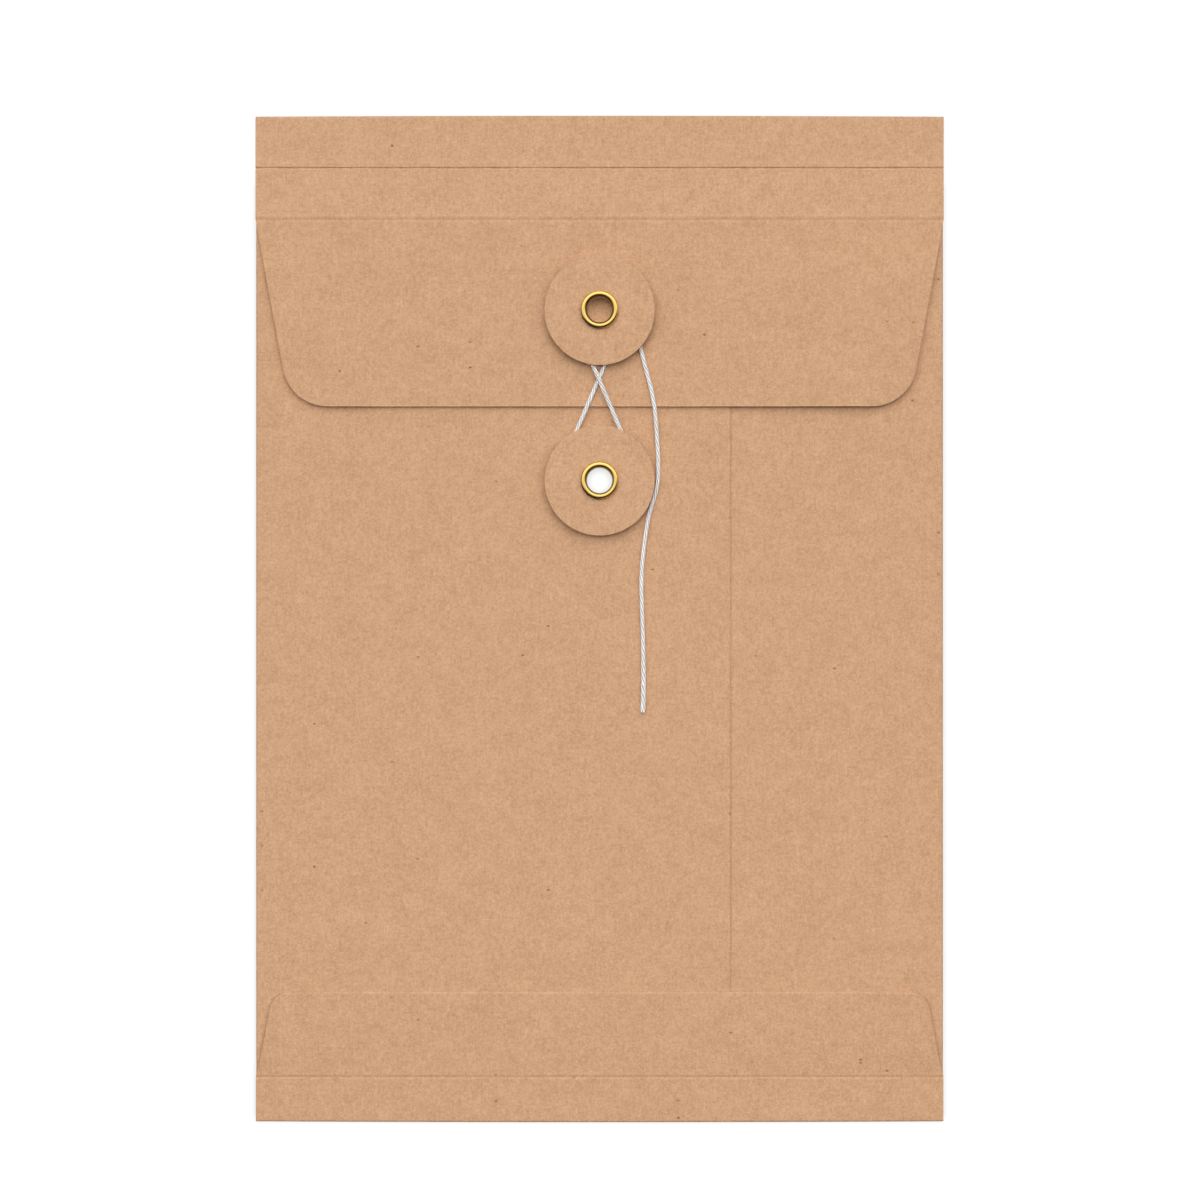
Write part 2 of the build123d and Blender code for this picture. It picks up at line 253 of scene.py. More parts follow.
def add_piece(name, points, quads, material, triangles=None, sharp=40, **marks):
    """A mesh object from points in millimetres, its faces turned outwards by the sign of the enclosed volume."""
    faces = [quads] if triangles is None else [quads, triangles]
    a, b, c = points[quads[:, 0]], points[quads[:, 1]], points[quads[:, 2]]
    d = points[quads[:, 3]]
    volume = np.sum(a * np.cross(b, c)) + np.sum(a * np.cross(c, d))
    if triangles is not None:
        a, b, c = (points[triangles[:, k]] for k in range(3))
        volume += np.sum(a * np.cross(b, c))
    if volume < 0:
        faces = [face[:, ::-1] for face in faces]
    sizes = np.concatenate([np.full(len(face), face.shape[1]) for face in faces])
    loops = np.concatenate([face.ravel() for face in faces])
    mesh = bpy.data.meshes.new(name)
    mesh.vertices.add(len(points))
    mesh.vertices.foreach_set("co", (points * MM).astype(np.float32).ravel())
    mesh.loops.add(len(loops))
    mesh.loops.foreach_set("vertex_index", loops.astype(np.int32))
    mesh.polygons.add(len(sizes))
    mesh.polygons.foreach_set("loop_start", (np.cumsum(sizes) - sizes).astype(np.int32))
    mesh.polygons.foreach_set("use_smooth", np.ones(len(sizes), dtype=bool))
    for mark, values in marks.items():
        if values.ndim == 2:
            layer = mesh.attributes.new(mark, "FLOAT_VECTOR", "POINT")
            layer.data.foreach_set("vector", (values * MM).astype(np.float32).ravel())
        else:
            layer = mesh.attributes.new(mark, "FLOAT", "POINT")
            layer.data.foreach_set("value", values.astype(np.float32))
    mesh.update(calc_edges=True)
    mesh.validate()
    mesh.set_sharp_from_angle(angle=radians(sharp))
    piece = bpy.data.objects.new(name, mesh)
    bpy.context.scene.collection.objects.link(piece)
    mesh.materials.append(material)
    return piece


def plan(x_lines, y_lines):
    """A level grid of quads over two sets of lines."""
    x, y = np.meshgrid(x_lines, y_lines, indexing="ij")
    index = np.arange(x.size).reshape(x.shape)
    quads = np.stack([index[:-1, :-1], index[1:, :-1], index[1:, 1:], index[:-1, 1:]], axis=-1)
    return x.ravel(), y.ravel(), quads.reshape(-1, 4)


def tube(rings):
    """Quads from each closed ring of point numbers to the next."""
    after = np.roll(rings, -1, axis=-1)
    return np.stack([rings[:-1], after[:-1], after[1:], rings[1:]], axis=-1).reshape(-1, 4)


def cap(tip, ring, last=False):
    """Triangles from a tip to a tube's first or last ring."""
    after = np.roll(ring, -1, axis=-1)
    sides = (ring, after) if last else (after, ring)
    return np.stack([np.broadcast_to(tip, ring.shape), *sides], axis=-1).reshape(-1, 3)


def plan_with_hole(x_lines, y_lines, centre_y, half, radius, rings=5):
    """A level grid whose square of that half size about (0, centre_y) is filled by rings that ease from
    the square to a round hole."""
    x, y, quads = plan(x_lines, y_lines)
    index = np.arange(x.size).reshape(len(x_lines), len(y_lines))
    left, right = np.searchsorted(x_lines, [-half - 1e-6, half - 1e-6])
    low, high = np.searchsorted(y_lines, [centre_y - half - 1e-6, centre_y + half - 1e-6])
    middle = np.stack([x[quads].mean(axis=1), y[quads].mean(axis=1) - centre_y])
    quads = quads[np.max(np.abs(middle), axis=0) > half]
    square = np.concatenate([
        index[left:right, low],
        index[right, low:high],
        index[right:left:-1, high],
        index[left, high:low:-1],
    ])
    angle = np.arctan2(y[square] - centre_y, x[square])
    share = np.linspace(0, 1, rings + 1)[1:, None]
    ring_x = x[square] + (radius * np.cos(angle) - x[square]) * share
    ring_y = y[square] + (centre_y + radius * np.sin(angle) - y[square]) * share
    loops = np.vstack([square, x.size + np.arange(ring_x.size).reshape(ring_x.shape)])
    quads = np.concatenate([quads, tube(loops)])
    x = np.concatenate([x, ring_x.ravel()])
    y = np.concatenate([y, ring_y.ravel()])
    used, quads = np.unique(quads, return_inverse=True)
    return x[used], y[used], quads.reshape(-1, 4)


def slab(name, grid, place, material, slanted=False, worn=None, paler=0.0):
    """A sheet with thickness: place gives the outer and inner face's points over a plan, and walls close every
    free edge. The grain follows the plan, or on a slanted sheet the placed width. The edge function gives the cut
    edges' tone, with painted shade and painted highlight at some edges, or else they are a little paler; paler
    lightens or darkens the whole sheet."""
    x, y, quads = grid
    outer, inner = place(x, y)
    count = len(x)
    start = quads.ravel()
    end = np.roll(quads, -1, axis=1).ravel()
    free = ~np.isin(start * count + end, end * count + start)
    start, end = start[free], end[free]
    walls = np.stack([start + count, end + count, end, start], axis=-1)
    faces = np.concatenate([quads, quads[:, ::-1] + count, walls])
    rim = np.zeros(count)
    rim[start] = 1
    tone = paler + (PALE_EDGE * rim if worn is None else worn(x, y, rim))
    flat = np.stack([outer[:, 0] if slanted else x, y, np.zeros(count)], axis=-1)
    return add_piece(
        name, np.concatenate([outer, inner]), faces, material,
        flat=np.concatenate([flat, flat + [0, 0, GRAIN_SHIFT]]), worn=np.concatenate([tone, tone]),
    )


def faces_of(x, y, z, normal):
    """The two faces of the sheet, half a paper thickness out and in along its normal."""
    middle = np.stack(np.broadcast_arrays(x, y, z), axis=-1).astype(float)
    return middle + normal * PAPER / 2, middle - normal * PAPER / 2


def folded(run, rise, radius=FOLD_RADIUS):
    """A fold met after a level stretch: a quarter turn down, a short straight wall and a quarter turn under.
    run is the length of paper past the fold's start. Returns reach past the start, drop, and the normal's two
    parts."""
    quarter = pi / 2 * radius
    wall = rise - 2 * radius
    first = np.clip(run / radius, 0, pi / 2)
    second = np.clip((run - quarter - wall) / radius, 0, pi / 2)
    fall = np.clip(run - quarter, 0, wall)
    turn = first + second
    reach = np.minimum(run, 0) + radius * np.sin(first) - radius * (1 - np.cos(second))
    drop = radius * (1 - np.cos(first)) + fall + radius * np.sin(second)
    return reach, drop, np.sin(turn), np.cos(turn)


def fold_length(rise, radius=FOLD_RADIUS):
    """Paper used by a whole fold: half a turn and the wall."""
    return pi * radius + rise - 2 * radius


def groove(x, y, score, size):
    """A pressed score: a bell-shaped dip across the sheet, a little uneven along its length, between two faint
    lips."""
    half_width, depth = size
    uneven = 1 + SLOW_WAVE[0] * np.sin(SLOW_WAVE[1] * x + score) + QUICK_WAVE[0] * np.sin(QUICK_WAVE[1] * x)
    away = (y - score) / half_width
    lips = LIP_SHARE * np.exp(-(away / LIP_SPREAD) ** 2)
    return depth * uneven * ((1 + LIP_SHARE) * np.exp(-away ** 2) - lips)


def tapered_edge(y, shoulder, edge, slant, corner):
    """Half the width of a leaf: full at the shoulder, slanted in towards its edge, and rounded at the corner."""
    toward = np.sign(shoulder - edge)
    lean = tan(radians(slant))
    line = HALF_WIDTH - np.clip((shoulder - y) * toward, 0, None) * lean
    centre_y = edge + toward * corner
    centre_x = HALF_WIDTH - abs(shoulder - centre_y) * lean - corner * sqrt(1 + lean ** 2)
    below = np.clip((centre_y - y) * toward, 0, corner)
    arc = centre_x + np.sqrt(corner ** 2 - below ** 2)
    return np.where(below > corner * sin(radians(slant)), arc, line)


def corner_lines(edge, toward, corner, slant, count=14):
    """Grid lines over a rounded corner, evenly spaced in angle so that the arc is smooth."""
    angle = np.linspace(radians(slant), pi / 2, count)
    return edge + toward * corner * (1 - np.sin(angle))


def widened(x, half, keep):
    """Stretch the grid beyond keep on either side so that its last line falls on half."""
    share = np.clip((np.abs(x) - keep) / (HALF_WIDTH - keep), 0, None)
    return np.sign(x) * (np.minimum(np.abs(x), keep) + share * (half - keep))


def bowed(x, y):
    """The sheet's top and bottom ends bow out a little at mid-width, by a parabola across the width."""
    near_end = smooth((np.abs(y) - BOW_START) / BOW_EASE)
    return y + np.sign(y) * END_BOW * (1 - (x / HALF_WIDTH) ** 2) * near_end


# Materials

def feed(tree, socket, value):
    """Give an input its constant, or link an output to it."""
    if isinstance(value, bpy.types.NodeSocket):
        tree.links.new(value, socket)
    else:
        socket.default_value = value


def fill(tree, made, **values):
    """Feed a node's inputs by name, and set its properties."""
    for key, value in values.items():
        socket = made.inputs.get(key.replace("_", " "))
        if socket is None:
            setattr(made, key, value)
        else:
            feed(tree, socket, value)
    return made


def node(tree, kind, **values):
    """A new shader node, filled."""
    return fill(tree, tree.nodes.new(kind), **values)


def new_material(name):
    """An empty material with its Principled shader ready."""
    material = bpy.data.materials.new(name)
    material.use_nodes = True
    tree = material.node_tree
    return material, tree, tree.nodes["Principled BSDF"]


def math(tree, operation, *operands):
    """One arithmetic step; each operand is an output or a number."""
    made = node(tree, "ShaderNodeMath", operation=operation)
    for slot, operand in enumerate(operands):
        feed(tree, made.inputs[slot], operand)
    return made.outputs[0]


def mix(tree, share, first, second, blend="MIX"):
    """A share of the second colour over the first; each is an output or a constant."""
    made = node(tree, "ShaderNodeMix", data_type="RGBA", blend_type=blend)
    for slot, operand in ((0, share), (6, first), (7, second)):
        feed(tree, made.inputs[slot], operand)
    return made.outputs[2]


def in_millimetres(tree, source, stretch=(1, 1, 1), offset=(0, 0, 0)):
    """Coordinates in millimetres, stretched along each axis."""
    scale = [share / MM for share in stretch]
    return node(tree, "ShaderNodeMapping", Vector=source, Location=offset, Scale=scale).outputs["Vector"]


def noise(tree, vector, scale, detail=2.0, roughness=0.5, distortion=0.0):
    """Fractal noise about one half, at so many cells a millimetre."""
    made = node(
        tree, "ShaderNodeTexNoise", Vector=vector, Scale=scale, Detail=detail, Roughness=roughness,
        Distortion=distortion,
    )
    return made.outputs["Fac"]


def level(tree, value, low, high):
    """Map a value so that low gives 0 and high gives 1, clamped."""
    return node(tree, "ShaderNodeMapRange", clamp=True, Value=value, From_Min=low, From_Max=high).outputs["Result"]


def kraft(name, colour, source_kind, offset):
    """Kraft paper: soft clouds, fine grain, crossed fibre streaks, thin stray fibres and a few dark flecks, with a
    tone at cut edges that includes painted shade and painted highlight lines."""
    material, tree, shader = new_material(name)
    if source_kind == "flat":
        source = node(tree, "ShaderNodeAttribute", attribute_name="flat").outputs["Vector"]
    else:
        source = tree.nodes.new("ShaderNodeTexCoord").outputs["Object"]
    here = in_millimetres(tree, source, offset=offset)
    across = in_millimetres(tree, source, (0.3, 2.2, 1), offset)
    upward = in_millimetres(tree, source, (2.2, 0.3, 1), offset)
    clouds = noise(tree, here, 0.09, 1.0)
    patches = noise(tree, here, 0.26, 1.0)
    mottle = noise(tree, here, 0.7, 1.0, 0.5, 0.4)
    grain = noise(tree, here, 1.5, 0.0, 0.5, 0.4)
    specks = noise(tree, here, 2.6, 0.0)
    weft = noise(tree, across, 1.0, 1.0)
    warp = noise(tree, upward, 1.0, 1.0)
    tone = math(tree, "MULTIPLY_ADD", clouds, 0.12, 1 - 0.06)
    weights = ((patches, 0.18), (mottle, 0.25), (grain, 0.28), (specks, 0.33), (weft, 0.02), (warp, 0.19))
    for field, amount in weights:
        tone = math(tree, "ADD", tone, math(tree, "MULTIPLY_ADD", field, amount, -amount / 2))

    # Stray fibres lie where a slow noise crosses one half, and only in patches
    line_field = noise(tree, here, 0.22, 1.0, 0.5, 0.6)
    line = math(tree, "ABSOLUTE", math(tree, "SUBTRACT", line_field, 0.5))
    line = level(tree, line, 0.0035, 0.0012)
    patch = level(tree, noise(tree, here, 0.35, 1.0), 0.60, 0.66)
    fibre = math(tree, "MULTIPLY", line, patch)
    tone = math(tree, "MULTIPLY_ADD", fibre, -0.07, tone)

    # Flecks sit in a few cells of a coarse cell pattern
    scattered = in_millimetres(tree, source, (1, 1.4, 1), np.add(offset, FLECK_SHIFT))
    cells = node(tree, "ShaderNodeTexVoronoi", voronoi_dimensions="2D", Scale=0.16, Vector=scattered)
    chosen = node(tree, "ShaderNodeSeparateColor", Color=cells.outputs["Color"])
    spot = level(tree, cells.outputs["Distance"], 0.078, 0.03)
    spot = math(tree, "MULTIPLY", spot, level(tree, chosen.outputs["Red"], 0.95, 0.99))
    tone = math(tree, "MULTIPLY_ADD", spot, -0.60, tone)

    # Cut edges' tone, with painted shade and painted highlight lines along some of them
    edge = node(tree, "ShaderNodeAttribute", attribute_name="worn").outputs["Fac"]
    tone = math(tree, "ADD", tone, edge)

    # Darker spots are browner: blue falls faster than red
    red, blue = math(tree, "POWER", tone, 0.80), math(tree, "POWER", tone, 1.27)
    shade = node(tree, "ShaderNodeCombineColor", Red=red, Green=tone, Blue=blue)
    tinted = mix(tree, 1, (*colour, 1), shade.outputs["Color"], "MULTIPLY")

    relief = math(tree, "ADD", math(tree, "MULTIPLY", mottle, 0.6), math(tree, "MULTIPLY", grain, 0.5))
    bump = node(tree, "ShaderNodeBump", Strength=0.35, Distance=GRAIN_DEPTH * MM, Height=relief)
    rough = math(tree, "MULTIPLY_ADD", grain, 0.2, 0.74)
    fill(tree, shader, Base_Color=tinted, Normal=bump.outputs["Normal"], Roughness=rough, Specular_IOR_Level=0.15)
    return material


def brass(name):
    """Polished brass, its gloss a little hazed in places, paler in the bore, and painted dark in the flare and at
    the foot of the rim, as painted shade and dark reflection, where it is also rougher."""
    material, tree, shader = new_material(name)
    here = in_millimetres(tree, tree.nodes.new("ShaderNodeTexCoord").outputs["Object"])
    haze = noise(tree, here, 1.6, 3.0)
    bore = node(tree, "ShaderNodeAttribute", attribute_name="bore").outputs["Fac"]
    dull = node(tree, "ShaderNodeAttribute", attribute_name="dull").outputs["Fac"]
    polished = mix(tree, haze, (0.86, 0.57, 0.15, 1), (0.94, 0.64, 0.19, 1))
    plain = mix(tree, bore, polished, (0.90, 0.80, 0.66, 1))
    painted_shade_brass = mix(tree, dull, plain, (0.06, 0.04, 0.02, 1))
    rough = math(tree, "MULTIPLY_ADD", haze, 0.10, 0.12)
    rough = math(tree, "MULTIPLY_ADD", dull, 0.3, rough)
    fill(tree, shader, Base_Color=painted_shade_brass, Roughness=rough, Metallic=1)
    return material


def cotton(name):
    """White cotton yarn: fine filaments run along each strand, and the furrows between the strands are painted
    grey as shade.
    """
    material, tree, shader = new_material(name)
    source = node(tree, "ShaderNodeAttribute", attribute_name="yarn").outputs["Vector"]
    along = in_millimetres(tree, source, (0.7, 5.0, 1))
    places = node(tree, "ShaderNodeSeparateXYZ", Vector=source)
    # Painted shade: each strand's sides towards the furrows turn grey, while its crown stays white
    crown_unshaded = level(tree, places.outputs["Y"], FURROW_EDGE * MM, CROWN_EDGE * MM)
    filament = noise(tree, along, 1.3, 2.0, 0.6)
    slub = noise(tree, in_millimetres(tree, source, (0.4, 0.4, 1)), 0.8, 2.0)
    uneven = math(tree, "MULTIPLY_ADD", slub, 0.2, 0.78)
    shade = math(tree, "MULTIPLY_ADD", filament, 0.3, uneven)
    white = math(tree, "MULTIPLY", crown_unshaded, shade)
    tinted = mix(tree, white, (0.46, 0.46, 0.45, 1), (0.98, 0.98, 0.97, 1))
    bump = node(tree, "ShaderNodeBump", Strength=0.5, Distance=FILAMENT_DEPTH * MM, Height=filament)
    rough = math(tree, "MULTIPLY_ADD", filament, 0.2, 0.7)
    fill(tree, shader, Base_Color=tinted, Normal=bump.outputs["Normal"], Roughness=rough, Specular_IOR_Level=0.2)
    return material


def dried_glue(name):
    """Dried paper glue: pale, slightly cloudy and a little glossy."""
    material, tree, shader = new_material(name)
    here = in_millimetres(tree, tree.nodes.new("ShaderNodeTexCoord").outputs["Object"])
    cloudy = noise(tree, here, 0.5, 2.0)
    tinted = mix(tree, cloudy, (0.62, 0.57, 0.46, 1), (0.78, 0.75, 0.66, 1))
    fill(tree, shader, Base_Color=tinted, Roughness=math(tree, "MULTIPLY_ADD", cloudy, 0.2, 0.35))
    return material


KRAFT = (0.631, 0.371, 0.212)
CARD = (0.638, 0.376, 0.216)
sheet_kraft = kraft("sheet_kraft", KRAFT, "flat", (0, 0, 0))
disc_kraft = kraft("disc_kraft", CARD, "flat", (31, 17, 4))
patch_kraft = kraft("patch_kraft", (0.60, 0.35, 0.20), "object", (5, 9, 2))
eyelet_brass = brass("eyelet_brass")
string_cotton = cotton("string_cotton")
paper_glue = dried_glue("paper_glue")


# The pocket

SIDE_START = HALF_WIDTH - FOLD_RADIUS - PAPER / 2
SIDE_RISE = PANEL_MID - BACK_MID
BOTTOM_RISE = PANEL_MID + PAPER + SHEET_GAP - BACK_MID
BOTTOM_START = BOTTOM_EDGE + FOLD_RADIUS + PAPER / 2
TOP_START = TOP_EDGE - FOLD_RADIUS - PAPER / 2
TOP_RISE = FLAP_MID - BACK_MID


def lap_dip(x):
    """How far the right panel has dipped under the left one: an even ease from its side fold to the seam."""
    return (PAPER + SHEET_GAP) * smooth((SIDE_START - x) / (SIDE_START - SEAM_X))


def back_place(x, y):
    """The level back, drawn in by the fold's width where the side folds start."""
    half = np.where(y < THROAT - THROAT_STEP / 2, SIDE_START, HALF_WIDTH)
    return faces_of(widened(x, half, BACK_KEEP), bowed(x, y), BACK_MID, np.array([0, 0, 1.0]))


def left_place(x, y):
    """The left panel: level, folded round under itself past the left edge, its free edge a little raised above the
    bottom flap."""
    reach, drop, out, up = folded(-SIDE_START - x, SIDE_RISE)
    here = np.where(x > -SIDE_START, x, -SIDE_START - reach)
    normal = np.stack([-out, np.zeros_like(out), up], axis=-1)
    raised = SEAM_LIFT * smooth((x - SEAM_X + SEAM_CURL) / SEAM_CURL) * smooth((y - BOTTOM_FLAP_EDGE) / SEAM_FADE)
    return faces_of(here, y, PANEL_MID + raised - drop, normal)


def right_place(x, y):
    """The right panel: folded round at the right edge, dipping to run under the left panel."""
    reach, drop, out, up = folded(x - SIDE_START, SIDE_RISE)
    here = np.where(x < SIDE_START, x, SIDE_START + reach)
    normal = np.stack([out, np.zeros_like(out), up], axis=-1)
    return faces_of(here, y, PANEL_MID - lap_dip(x) - drop, normal)


def bottom_place(x, y):
    """The bottom flap: folded up at the bottom edge, lying on both panels, its sides a little raised and its cut
    edge bevelled down a little."""
    half = tapered_edge(y, BOTTOM_SCORE, BOTTOM_FLAP_EDGE, BOTTOM_SLANT, BOTTOM_CORNER)
    reach, drop, out, up = folded(BOTTOM_START - y, BOTTOM_RISE)
    here = np.where(y > BOTTOM_START, y, BOTTOM_START - reach)
    sunk = lap_dip(x) * smooth((x - SEAM_X) / SINK_EASE) * smooth((y - BOTTOM_START) / SINK_RISE)
    raised = lift_at(np.abs(x), BOTTOM_LIFT) * smooth((y - BOTTOM_SCORE) / BOTTOM_LIFT_EASE)
    pressed = groove(x, y, BOTTOM_PRESS, BOTTOM_GROOVE)
    normal = np.stack([np.zeros_like(out), -out, up], axis=-1)
    middle = PANEL_MID + PAPER + SHEET_GAP + raised - sunk - drop - pressed
    outer, inner = faces_of(widened(x, half, BOTTOM_KEEP), bowed(x, here), middle, normal)
    outer[:, 2] -= EDGE_WEAR * (1 - smooth((BOTTOM_FLAP_EDGE - y) / WEAR_WIDTH))
    return outer, inner


x_hole = [(-HALF_WIDTH, 1), (-HALF_WIDTH + EDGE_CELL, 20), (-HOLE_HALF, HOLE_CELLS), (HOLE_HALF, 20)]
hole_lines_x = spread(*x_hole, (HALF_WIDTH - EDGE_CELL, 1), (HALF_WIDTH, 0))

back_lines_y = spread(
    (BOTTOM_START, 30), (LOWER_Y - HOLE_HALF, HOLE_CELLS), (LOWER_Y + HOLE_HALF, 14),
    (THROAT - THROAT_STEP, 1), (THROAT, 4), (TOP_START, 0),
)
back_sheet = slab(
    "back_sheet", plan_with_hole(hole_lines_x, back_lines_y, LOWER_Y, HOLE_HALF, PEEP_RADIUS), back_place,
    sheet_kraft,
)
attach(back_sheet, "pocket")
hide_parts("back_panel")

panel_lines_y = spread(
    (PANEL_BOTTOM, 1), (PANEL_BOTTOM + EDGE_CELL, 30), (LOWER_Y - HOLE_HALF, HOLE_CELLS), (LOWER_Y + HOLE_HALF, 14),
    (THROAT - EDGE_CELL, 1), (THROAT, 0),
)
side_length = fold_length(SIDE_RISE)
left_lines_x = spread(
    (-SIDE_START - side_length, 24), (-SIDE_START, 20), (-HOLE_HALF, HOLE_CELLS), (HOLE_HALF, 10),
    (SEAM_X - SEAM_CURL - EDGE_CELL, 8), (SEAM_X - SEAM_CELL, 1), (SEAM_X, 0),
)


def seam_painted_shade(x, y, rim):
    """The free edge at the seam is painted darker: painted shade that stands for the seam's thin shadow line."""
    return -SEAM_SHADE * rim * (x > SEAM_X - SEAM_CELL)


left_front_sheet = slab(
    "left_front_sheet", plan_with_hole(left_lines_x, panel_lines_y, LOWER_Y, HOLE_HALF, HOLE_RADIUS), left_place,
    sheet_kraft, worn=seam_painted_shade,
)
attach(left_front_sheet, "pocket")
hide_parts("left_front_panel", "left_side_fold")

right_lines_x = spread(
    (LAP_START, 1), (LAP_START + EDGE_CELL, 24), (SIDE_START, 24), (SIDE_START + side_length, 0),
)
right_front_sheet = slab("right_front_sheet", plan(right_lines_x, panel_lines_y), right_place, sheet_kraft)
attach(right_front_sheet, "pocket")
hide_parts("right_front_panel", "right_side_fold")

bottom_lines_y = np.unique(np.round(np.concatenate([
    np.linspace(BOTTOM_START - fold_length(BOTTOM_RISE), BOTTOM_START, 25),
    np.linspace(BOTTOM_START, BOTTOM_SCORE - BEND_REACH, 12),
    BOTTOM_SCORE + BEND_REACH * np.linspace(-1, 1, 25),
    np.linspace(BOTTOM_SCORE + BEND_REACH, BOTTOM_FLAP_EDGE - BOTTOM_CORNER, 14),
    corner_lines(BOTTOM_FLAP_EDGE, -1, BOTTOM_CORNER, BOTTOM_SLANT),
]), 5))
bottom_lines_x = spread(
    (-HALF_WIDTH, 1), (-HALF_WIDTH + BOTTOM_CELL, 40), (SEAM_X - SEAM_SPAN[0], 12), (SEAM_X + SEAM_SPAN[1], 20),
    (HALF_WIDTH - BOTTOM_CELL, 1), (HALF_WIDTH, 0),
)


def bottom_painted_light(x, y, rim):
    """The upper cut edge is painted paler as a painted highlight, and the slanted sides are painted darker as
    painted shade, the left one most.
    """
    upper = 1 - smooth((BOTTOM_FLAP_EDGE - y) / EDGE_HIGHLIGHT_WIDTH)
    side = rim * (1 - upper) * smooth((y - BOTTOM_SCORE) / SIDE_SHADE_EASE) * (1 - LEFT_SHADE_MORE * np.sign(x))
    return EDGE_HIGHLIGHT_TONE * upper - SIDE_SHADE * side


bottom_flap_sheet = slab(
    "bottom_flap_sheet", plan(bottom_lines_x, bottom_lines_y), bottom_place, sheet_kraft, slanted=True,
    worn=bottom_painted_light, paler=BOTTOM_TONE,
)
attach(bottom_flap_sheet, "pocket")
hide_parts("bottom_flap")


def glue_film(name, x_lines, y_lines, node_name):
    """A film as thick as the gap between two glued sheets, lying on the right panel and, left of it, on the left
    panel."""
    x, y, quads = plan(x_lines, y_lines)
    low = np.stack([x, y, PANEL_MID + PAPER / 2 - lap_dip(x) * (x > LAP_START)], axis=-1)

    def place(_x, _y):
        """Outer face one gap above the inner face."""
        return low + [0, 0, SHEET_GAP], low

    film = slab(name, (x, y, quads), place, paper_glue)
    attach(film, "pocket")
    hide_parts(node_name)


glue_film(
    "seam_glue_film", spread((LAP_START + GLUE_INSET, 8), (SEAM_X - GLUE_INSET, 0)),
    spread((PANEL_BOTTOM + GLUE_INSET, 12), (THROAT - GLUE_INSET, 0)), "seam_glue",
)
glue_film(
    "bottom_glue_film", spread((GLUE_LEFT, 30), (LAP_START - GLUE_INSET, 0)),
    spread((BOTTOM_SCORE + GLUE_INSET, 8), (BOTTOM_FLAP_EDGE - GLUE_EDGE_INSET, 0)), "bottom_flap_glue",
)


# The top flap, in three sheets that meet just above each score

def first_place(x, y):
    """The first band, folded round the top edge down to the back."""
    reach, drop, out, up = folded(y - TOP_START, TOP_RISE)
    here = np.where(y < TOP_START, y, TOP_START + reach)
    normal = np.stack([np.zeros_like(out), out, up], axis=-1)
    return faces_of(x, bowed(x, here), FLAP_MID - drop, normal)


def second_place(x, y):
    """The second band, with the first score pressed into it."""
    pressed = groove(x, y, FIRST_PRESS, FIRST_GROOVE)
    return faces_of(x, y, FLAP_MID - pressed, np.array([0, 0, 1.0]))


def leaf_place(x, y):
    """The leaf: its pressed score, slanted sides and rounded corners, both sides and corners a little lifted and
    the cut edge turned up."""
    half = tapered_edge(y, FLAP_SHOULDER, FLAP_EDGE, FLAP_SLANT, FLAP_CORNER)
    pressed = groove(x, y, SECOND_PRESS, SECOND_GROOVE)
    lifted = lift_at(-x, LEFT_LIFT) + lift_at(x, RIGHT_LIFT) + lift_at(np.abs(x), CORNER_LIFT)
    lifted = lifted * smooth((FLAP_SHOULDER - y) / LIFT_EASE)
    curled = EDGE_CURL * (1 - smooth((y - FLAP_EDGE) / CURL_WIDTH))
    middle = FLAP_MID - pressed + lifted + curled
    return faces_of(widened(x, half, LEAF_KEEP), y, middle, np.array([0, 0, 1.0]))


band_lines_x = spread((-HALF_WIDTH, 1), (-HALF_WIDTH + EDGE_CELL, 60), (HALF_WIDTH - EDGE_CELL, 1), (HALF_WIDTH, 0))
first_top = FIRST_SCORE + BEND_REACH
second_top = SECOND_SCORE + BEND_REACH
first_lines_y = spread((first_top, 10), (TOP_START, 36), (TOP_START + fold_length(TOP_RISE), 0))
second_lines_y = np.concatenate([
    np.linspace(second_top, FIRST_SCORE - BEND_REACH, 12)[:-1],
    FIRST_SCORE + BEND_REACH * np.linspace(-1, 1, 41),
])
leaf_lines_y = np.concatenate([
    corner_lines(FLAP_EDGE, 1, FLAP_CORNER, FLAP_SLANT, 20)[::-1][:-1],
    spread(
        (FLAP_EDGE + FLAP_CORNER * (1 - sin(radians(FLAP_SLANT))), 4), (UPPER_Y - HOLE_HALF, HOLE_CELLS),
        (UPPER_Y + HOLE_HALF, 8), (SECOND_SCORE - BEND_REACH, 0),
    )[:-1],
    SECOND_SCORE + BEND_REACH * np.linspace(-1, 1, 33),
])

flap_first_sheet = slab(
    "flap_first_sheet", plan(band_lines_x, first_lines_y), first_place, sheet_kraft, paler=FIRST_BAND_TONE,
)
flap_second_sheet = slab(
    "flap_second_sheet", plan(band_lines_x, second_lines_y), second_place, sheet_kraft, paler=SECOND_BAND_TONE,
)
flap_leaf_sheet = slab(
    "flap_leaf_sheet", plan_with_hole(hole_lines_x, leaf_lines_y, UPPER_Y, HOLE_HALF, HOLE_RADIUS), leaf_place,
    sheet_kraft, slanted=True,
)
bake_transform(flap_first_sheet)
for piece, upper, lower, score in (
    (flap_second_sheet, "flap_root", "flap_middle", FIRST_SCORE),
    (flap_leaf_sheet, "flap_middle", "flap_end", SECOND_SCORE),
):
    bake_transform(piece)
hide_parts("flap_first_band")
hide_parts("flap_second_band")
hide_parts("flap_leaf")


# Discs, eyelets and their backing rings

AROUND = np.linspace(0, 2 * pi, 144, endpoint=False)


